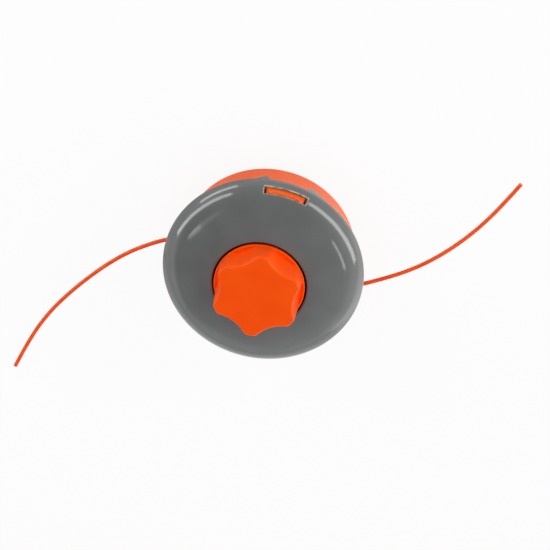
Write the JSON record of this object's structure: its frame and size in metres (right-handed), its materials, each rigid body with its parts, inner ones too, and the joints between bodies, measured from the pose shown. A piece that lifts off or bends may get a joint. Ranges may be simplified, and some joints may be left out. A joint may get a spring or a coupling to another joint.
{
  "type": "trimmer head",
  "caption": "Tap-feed string trimmer head: grey domed cover latched to an orange cup, scalloped bump knob on a sprung spool, threaded hub and nylon lines out of side eyelets.",
  "frame": {"origin": "centre of the hub's seat face, where the head meets the machine's arbor flange", "axes": "+Z along the spin axis from the machine to the knob; the latch window on -Y and its hook on +Y; the line eyelets on +X and -X"},
  "size_m": [0.2543, 0.2093, 0.0672],
  "materials": {
    "housing_plastic": "moulded, semi-gloss",
    "cover_plastic": "moulded, glossy",
    "knob_plastic": "moulded, semi-gloss",
    "spool_plastic": "moulded, matt",
    "steel": "zinc plated",
    "eyelet_metal": "turned",
    "nylon_line": "extruded nylon"
  },
  "bodies": {
    "housing": {"upper_housing": "housing_plastic", "lower_cover": "cover_plastic", "drive_insert": "steel", "line_eyelet_left": "eyelet_metal", "line_eyelet_right": "eyelet_metal", "compression_spring": "steel", "line_left": "nylon_line", "line_right": "nylon_line"},
    "thrust": {"thrust_washer": "steel"},
    "spool": {"spool": "spool_plastic", "line_winding_lower": "nylon_line", "line_winding_upper": "nylon_line", "bump_knob": "knob_plastic"}
  },
  "joints": [
    {"name": "knob_press", "type": "slide", "parent": "housing", "child": "thrust", "axis": [0, 0, -1], "range_m": [0, 0.006], "stiffness_N_per_m": 3000, "springref_m": -0.012, "deforming": ["compression_spring"]},
    {"name": "spool_turn", "type": "hinge", "parent": "thrust", "child": "spool", "pos_m": [0, 0, 0], "axis": [0, 0, 1], "continuous": true}
  ]
}
